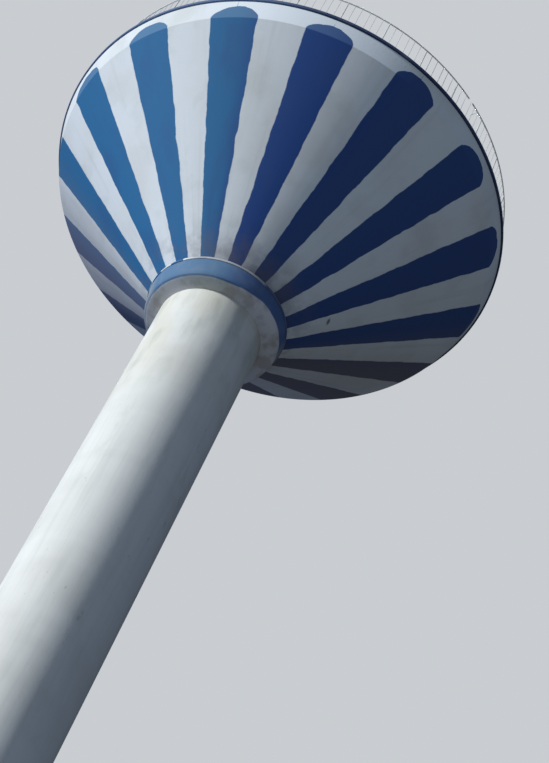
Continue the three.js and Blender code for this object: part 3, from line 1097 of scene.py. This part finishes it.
rod_outline = [
    (0, ROD_FOOT),
    (ROD_PLATE_RADIUS, ROD_FOOT),
    (ROD_PLATE_RADIUS, ROD_FOOT + ROD_PLATE_THICKNESS),
    (ROD_FOOT_RADIUS, ROD_FOOT + ROD_PLATE_THICKNESS),
    (ROD_TIP_RADIUS, ROD_TOP),
    (0, ROD_TOP),
]
rod_shape = turned(rod_outline, ROD_STEP)
rod = make_piece("steel_rod", rod_shape, rail_paint, ["lightning_rod"])
round_edges(rod, ROD_WEAR)

# %% [markdown]
# ## Guard rail
# The rail is steel pipe: a hand rail and a low rail bent to the roof's circle, on posts with
# bolted foot plates, and thin balusters between. The photograph shows the hand rail parted at one
# joint on the right, with a short stay next to it. The bars could be curves with a bevel, but they
# would become meshes in the end, and short bars are quicker to make as meshes. Each panel of the
# CAD rail becomes one piece, so the balusters and bolts come with the panel they belong to.
# Places along the rail are angles in degrees.

# %% Helpers for bars
BAR_SIDES = 12


def bar(start, end, radius, sides=BAR_SIDES):
    """A closed round or many-sided bar between two points."""
    start, end = Vector(start), Vector(end)
    turn = (end - start).to_track_quat("Z", "Y")
    points = []
    for centre in (start, end):
        for i in range(sides):
            angle = 2 * math.pi * i / sides
            offset = turn @ Vector((radius * math.cos(angle), radius * math.sin(angle), 0))
            points.append(tuple(centre + offset))
    faces = [(i, (i + 1) % sides, sides + (i + 1) % sides, sides + i) for i in range(sides)]
    faces.append(tuple(reversed(range(sides))))
    faces.append(tuple(range(sides, 2 * sides)))
    return points, faces


def join(shapes):
    """Several shapes as one."""
    points, faces = [], []
    for more_points, more_faces in shapes:
        first = len(points)
        points += more_points
        faces += [tuple(first + i for i in face) for face in more_faces]
    return points, faces


# %% Posts
RAIL_RADIUS = 5.37
HAND_RAIL_LEVEL = WALK_LEVEL + 1.055
POST_RADIUS = 0.015
PLATE_RADIUS = 0.055
PLATE_SIDES = 24
PLATE_THICKNESS = 0.008
BOLTS_PER_PLATE = 4
BOLT_CIRCLE = 0.04
BOLT_RADIUS = 0.009
BOLT_SIDES = 6
BOLT_HEIGHT = 0.007


def upright(angle, foot, top, radius, sides=BAR_SIDES):
    """An upright bar on the rail's circle."""
    ends = [on_circle(RAIL_RADIUS, angle, height) for height in (foot, top)]
    return bar(*ends, radius, sides)


def post_shapes(angle):
    """A post, its foot plate and the plate's four bolts."""
    foot = WALK_LEVEL + SEAM
    plate_top = foot + PLATE_THICKNESS
    shapes = [
        upright(angle, foot, HAND_RAIL_LEVEL, POST_RADIUS),
        upright(angle, foot, plate_top, PLATE_RADIUS, PLATE_SIDES),
    ]
    middle = Vector(on_circle(RAIL_RADIUS, angle, plate_top))
    for i in range(BOLTS_PER_PLATE):
        round_plate = 360 / BOLTS_PER_PLATE * (i + 0.5)
        bolt = middle + Vector(on_circle(BOLT_CIRCLE, angle + round_plate, 0))
        shapes.append(bar(bolt, bolt + Vector((0, 0, BOLT_HEIGHT)), BOLT_RADIUS, BOLT_SIDES))
    return shapes


# %% Balusters
PANEL_COUNT = 8
PANEL_SWEEP = 360 / PANEL_COUNT
POSTS_PER_PANEL = 4
BAY_SWEEP = PANEL_SWEEP / POSTS_PER_PANEL
BALUSTER_RADIUS = 0.006
BALUSTER_SIDES = 8
BALUSTERS_PER_BAY = 5
BESIDE_JOINT_ANGLE = 0.3


def baluster_angles(start):
    """Where the balusters of a bay are: evenly spread, but none where the post stands."""
    gap = BAY_SWEEP / (BALUSTERS_PER_BAY + 1)
    angles = [start + gap * (i + 1) for i in range(BALUSTERS_PER_BAY)]
    angles.remove(angles[BALUSTERS_PER_BAY // 2])
    return [start + BESIDE_JOINT_ANGLE] + angles


# %% Rail panels
HAND_RAIL_RADIUS = 0.017
LOW_RAIL_LEVEL = WALK_LEVEL + 0.13
LOW_RAIL_RADIUS = 0.011
RAIL_JOINT_ANGLE = 31.5
JOINT_TRIM_ANGLE = math.degrees(SEAM / 2 / RAIL_RADIUS)
BREAK_HALF_ANGLE = 0.7
STAY_ANGLE = 34.9
STAY_LENGTH = 0.2
STAY_RADIUS = 0.012


def pipe_section(radius, height, pipe_radius, sides=BAR_SIDES):
    """The round outline of a pipe that is bent about the tower's axis."""
    turns = [2 * math.pi * (i + 0.5) / sides for i in range(sides)]
    return [(radius + pipe_radius * math.cos(t), height + pipe_radius * math.sin(t)) for t in turns]


def panel_shape(number):
    """One panel of the rail, numbered from 0 at the parted joint."""
    start = RAIL_JOINT_ANGLE + number * PANEL_SWEEP
    end = start + PANEL_SWEEP
    hand_start = start + (BREAK_HALF_ANGLE if number == 0 else JOINT_TRIM_ANGLE)
    hand_end = end - (BREAK_HALF_ANGLE if number == PANEL_COUNT - 1 else JOINT_TRIM_ANGLE)
    hand = pipe_section(RAIL_RADIUS, HAND_RAIL_LEVEL, HAND_RAIL_RADIUS)
    low = pipe_section(RAIL_RADIUS, LOW_RAIL_LEVEL, LOW_RAIL_RADIUS)
    shapes = [
        revolve(hand, hand_start, hand_end),
        revolve(low, start + JOINT_TRIM_ANGLE, end - JOINT_TRIM_ANGLE),
    ]
    for bay in range(POSTS_PER_PANEL):
        bay_start = start + bay * BAY_SWEEP
        shapes += post_shapes(bay_start + BAY_SWEEP / 2)
        shapes += [
            upright(angle, LOW_RAIL_LEVEL, HAND_RAIL_LEVEL, BALUSTER_RADIUS, BALUSTER_SIDES)
            for angle in baluster_angles(bay_start)
        ]
    if number == 0:
        outer = on_circle(RAIL_RADIUS, STAY_ANGLE, HAND_RAIL_LEVEL)
        inner = on_circle(RAIL_RADIUS - STAY_LENGTH, STAY_ANGLE, HAND_RAIL_LEVEL)
        shapes.append(bar(inner, outer, STAY_RADIUS))
    return join(shapes)


for number in range(PANEL_COUNT):
    make_piece(
        f"rail_panel_{number + 1}",
        panel_shape(number),
        rail_paint,
        [f"guard_rail_{number + 1}"],
    )

# %% [markdown]
# ## Door and hatch
# The photograph doesn't show the tower's foot, so the door is the plain kind that such towers
# have: a steel plate leaf stiffened by flat bars round its edge and across its middle, hung on
# three barrel hinges, with a pull handle and a lock plate. The hatch in the shaft's head has two
# hinges and a pull of the same kind. The leaf, the frame, the hatch plate, the sill and the floor
# keep their CAD shapes, which are already right, and get a finish. Those that show get slightly
# rounded edges too, all but the hatch plate, which is curved.

# %% Finishes on the CAD pieces
STEEL_WEAR = 0.003
SILL_WEAR = 0.006


def dress(name, material, wear=0.0):
    """Gives a CAD node a new material and, where a width is given, rounded edges."""
    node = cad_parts[name]
    node.data.materials.clear()
    node.data.materials.append(material)
    if wear:
        round_edges(node, wear)


dress("door_frame", door_paint, STEEL_WEAR)
dress("door_leaf", door_paint, STEEL_WEAR)
dress("head_hatch", door_paint)
dress("door_sill", bare_concrete, SILL_WEAR)
dress("floor_slab", bare_concrete)

# %% Hinges and pull handles
HINGE_RADIUS = 0.014
HINGE_LENGTH = 0.12
HANDLE_RADIUS = 0.009
HANDLE_LENGTH = 0.26
HANDLE_REACH = 0.05


def barrel_hinge(middle):
    """An upright hinge barrel round a point."""
    lift = Vector((0, 0, HINGE_LENGTH / 2))
    return bar(Vector(middle) - lift, Vector(middle) + lift, HINGE_RADIUS)


def pull_handle(foot, top, outward):
    """A bent bar handle between two points on a plate."""
    foot, top, reach = Vector(foot), Vector(top), Vector(outward) * HANDLE_REACH
    return [
        bar(foot, foot + reach, HANDLE_RADIUS),
        bar(top, top + reach, HANDLE_RADIUS),
        bar(foot + reach, top + reach, HANDLE_RADIUS),
    ]


# %% Stiffeners of the door
STIFFENER_WIDTH = 0.05
STIFFENER_PROUD = 0.008
LEAF_LOW, LEAF_HIGH = (Vector(corner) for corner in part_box("door_leaf"))
LEAF_MIDDLE = (LEAF_LOW.z + LEAF_HIGH.z) / 2


def block(low, high):
    """A closed box between two corners."""
    (left, front, foot), (right, back, top) = low, high
    points = [(x, y, z) for z in (foot, top) for y in (front, back) for x in (left, right)]
    faces = [(0, 2, 3, 1), (4, 5, 7, 6), (0, 1, 5, 4), (2, 6, 7, 3), (0, 4, 6, 2), (1, 3, 7, 5)]
    return points, faces


def stiffener(left, right, foot, top):
    """A flat bar on the front of the leaf."""
    front = LEAF_LOW.y
    return block((left, front - STIFFENER_PROUD, foot), (right, front, top))


def door_stiffeners():
    """Flat bars along the leaf's foot, middle and top, and between them along its two sides."""
    half = STIFFENER_WIDTH / 2
    levels = [LEAF_LOW.z + half, LEAF_MIDDLE, LEAF_HIGH.z - half]
    shapes = [stiffener(LEAF_LOW.x, LEAF_HIGH.x, z - half, z + half) for z in levels]
    for left in (LEAF_LOW.x, LEAF_HIGH.x - STIFFENER_WIDTH):
        for below, above in zip(levels, levels[1:]):
            shapes.append(stiffener(left, left + STIFFENER_WIDTH, below + half, above - half))
    return shapes


# %% Door furniture
DOOR_HINGE_SHARES = (0.12, 0.5, 0.88)
GRIP_FROM_EDGE = 0.125
GRIP_BELOW_MIDDLE = 0.08
LOCK_OVER_MIDDLE = 0.06
LOCK_WIDTH = 0.05
LOCK_HEIGHT = 0.1
LOCK_THICKNESS = 0.004
FURNITURE_WEAR = 0.0015


def door_hinges():
    """Three barrel hinges on the leaf's right edge."""
    pin = (LEAF_HIGH.x + HINGE_RADIUS, LEAF_LOW.y + HINGE_RADIUS)
    leaf_height = LEAF_HIGH.z - LEAF_LOW.z
    return [barrel_hinge((*pin, LEAF_LOW.z + leaf_height * share)) for share in DOOR_HINGE_SHARES]


def door_grip():
    """The pull handle on the leaf's left side, and the lock plate over it."""
    front = LEAF_LOW.y
    grip = LEAF_LOW.x + GRIP_FROM_EDGE
    grip_top = LEAF_MIDDLE - GRIP_BELOW_MIDDLE
    lock_foot = LEAF_MIDDLE + LOCK_OVER_MIDDLE
    lock_low = (grip - LOCK_WIDTH / 2, front - LOCK_THICKNESS, lock_foot)
    lock_high = (grip + LOCK_WIDTH / 2, front, lock_foot + LOCK_HEIGHT)
    handle = pull_handle((grip, front, grip_top - HANDLE_LENGTH), (grip, front, grip_top), (0, -1, 0))
    return handle + [block(lock_low, lock_high)]


furniture_shape = join(door_stiffeners() + door_hinges() + door_grip())
furniture = make_piece("door_furniture", furniture_shape, door_paint)
round_edges(furniture, FURNITURE_WEAR)

# %% Hatch furniture
HATCH_PLATE_RADIUS = SHAFT_RADIUS + SEAM + 0.03
HATCH_HINGE_SHARES = (0.2, 0.8)
HATCH_GRIP_FROM_EDGE = 0.05


def hatch_furniture():
    """Two hinges on one edge of the hatch and a handle near the other."""
    low, high = (Vector(corner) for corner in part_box("head_hatch"))
    edge = 180 + math.degrees(math.asin((high.x + HINGE_RADIUS) / HATCH_PLATE_RADIUS))
    levels = [low.z + (high.z - low.z) * share for share in HATCH_HINGE_SHARES]
    pin_radius = HATCH_PLATE_RADIUS - HINGE_RADIUS / 2
    shapes = [barrel_hinge(on_circle(pin_radius, edge, level)) for level in levels]
    grip_reach = high.x - HATCH_GRIP_FROM_EDGE
    grip = 180 - math.degrees(math.asin(grip_reach / HATCH_PLATE_RADIUS))
    middle = (low.z + high.z) / 2
    foot, top = (
        on_circle(HATCH_PLATE_RADIUS, grip, middle + side * HANDLE_LENGTH / 2) for side in (-1, 1)
    )
    return join(shapes + pull_handle(foot, top, on_circle(1, grip, 0)))


make_piece("hatch_furniture", hatch_furniture(), door_paint)

# %% [markdown]
# ## Stage
# The floor is plain and pale. The photograph's camera stands lower than the tower's foot, because
# the real tower leans, so the floor can't be in its way: its underside is see-through. The floor
# takes no part in lighting the tower either, since the light from below comes from the world.

# %% Floor
FLOOR_PALE = "#D5D7D8"
FLOOR_ROUGHNESS = 0.9
FLOOR_RADIUS = 1500.0
FLOOR_SIDES = 72
FLOOR_SINK = 0.001


def make_floor_finish():
    """Plain pale paint that is see-through from below."""
    material, tree, _ = new_finish("pale_floor")
    pale = add_node(
        tree,
        "ShaderNodeBsdfPrincipled",
        {"Base Color": linear(FLOOR_PALE), "Roughness": FLOOR_ROUGHNESS},
    )
    clear = add_node(tree, "ShaderNodeBsdfTransparent")
    under = add_node(tree, "ShaderNodeNewGeometry").outputs["Backfacing"]
    surface = add_node(tree, "ShaderNodeMixShader", {0: under, 1: pale, 2: clear})
    add_node(tree, "ShaderNodeOutputMaterial", {"Surface": surface})
    return material


floor_mesh = bpy.data.meshes.new("floor")
side_angles = [360 / FLOOR_SIDES * i for i in range(FLOOR_SIDES)]
floor_rim = [on_circle(FLOOR_RADIUS, angle, -FLOOR_SINK) for angle in side_angles]
floor_mesh.from_pydata(floor_rim, [], [tuple(range(FLOOR_SIDES))])
floor_mesh.materials.append(make_floor_finish())
floor = bpy.data.objects.new("floor", floor_mesh)
bpy.context.scene.collection.objects.link(floor)
floor.visible_shadow = False
floor.visible_diffuse = False
floor.visible_glossy = False
print("the floor is", 2 * FLOOR_RADIUS, "m across")

# %% [markdown]
# ## Light
# Plain soft studio light, from the side the photograph has it. Its direction, strength and colour
# come from fitting the white paint round the tank: a low key from the left, one broad cool light
# from the front and below, two weak blue ones for the shaded side and the low far left, and a
# dim even surround. Two more lamps only reach what the photograph doesn't show, the roof and the
# back. Area lamps would be softer, but sun lamps light the tower alike from foot to head, and
# they never come into view where the camera stands far away.

# %% Lamps
LAMP_DISTANCE = 60.0
LAMPS = (
    # The name of each, its angle and elevation, its strength, its softness in degrees, its colour.
    ("key_light", -72.4, 10.0, 3.21, 5, "#F7FCFF"),
    ("top_light", 0, 90, 1.6, 20, "#FFFFFF"),
    ("sky_light", 65, 45, 0.22, 40, "#7CB4FF"),
    ("low_sky_light", -132, -25, 0.35, 40, "#5F9EFF"),
    ("back_light", 180, 55, 1.8, 12, "#FFFFFF"),
)


def add_sun(name, angle, elevation, strength, softness, colour):
    """A soft sun lamp that shines from an angle round the tower and an elevation."""
    lamp = bpy.data.objects.new(name, bpy.data.lights.new(name, "SUN"))
    lamp.data.energy = strength
    lamp.data.color = linear(colour)[:3]
    lamp.data.angle = math.radians(softness)
    source = Vector(towards(angle, elevation))
    lamp.rotation_mode = "QUATERNION"
    lamp.rotation_quaternion = source.to_track_quat("Z", "Y")
    lamp.location = source * LAMP_DISTANCE
    bpy.context.scene.collection.objects.link(lamp)
    print(name, "shines from", angle, "degrees round and", elevation, "up")


for settings in LAMPS:
    add_sun(*settings)

# %% [markdown]
# ## Surround
# The world gives the even light and the broad cool one, which is strongest where a ray points at
# its middle. Neither has to be seen, so the camera sees a plain pale backdrop instead. The
# standard view transform shows the paints as their hex colours have them.

# %% Surround
BACKDROP = "#C9CDD1"
EVEN_COLOUR = "#F0F8FF"
EVEN_STRENGTH = 0.072
BROAD_COLOUR = "#C1DBFF"
BROAD_STRENGTH = 0.306
BROAD_MIDDLE = towards(-30.5, -28.1)

world = bpy.data.worlds.new("surround")
bpy.context.scene.world = world
world.use_nodes = True
around = world.node_tree
around.nodes.clear()
ray = add_node(around, "ShaderNodeTexCoord").outputs["Generated"]
facing = add_node(around, "ShaderNodeVectorMath", {0: ray, 1: BROAD_MIDDLE}, operation="DOT_PRODUCT")
broad_strength = add_node(around, "ShaderNodeMapRange", {"Value": facing, "To Max": BROAD_STRENGTH})
broad, even, backdrop = (
    add_node(around, "ShaderNodeBackground", {"Color": linear(colour), "Strength": strength})
    for colour, strength in (
        (BROAD_COLOUR, broad_strength),
        (EVEN_COLOUR, EVEN_STRENGTH),
        (BACKDROP, 1.0),
    )
)
lights = add_node(around, "ShaderNodeAddShader", {0: even, 1: broad})
seen = add_node(around, "ShaderNodeLightPath").outputs["Is Camera Ray"]
shown = add_node(around, "ShaderNodeMixShader", {0: seen, 1: lights, 2: backdrop})
add_node(around, "ShaderNodeOutputWorld", {"Surface": shown})
bpy.context.scene.view_settings.view_transform = "Standard"
print("surround has", len(around.nodes), "nodes")
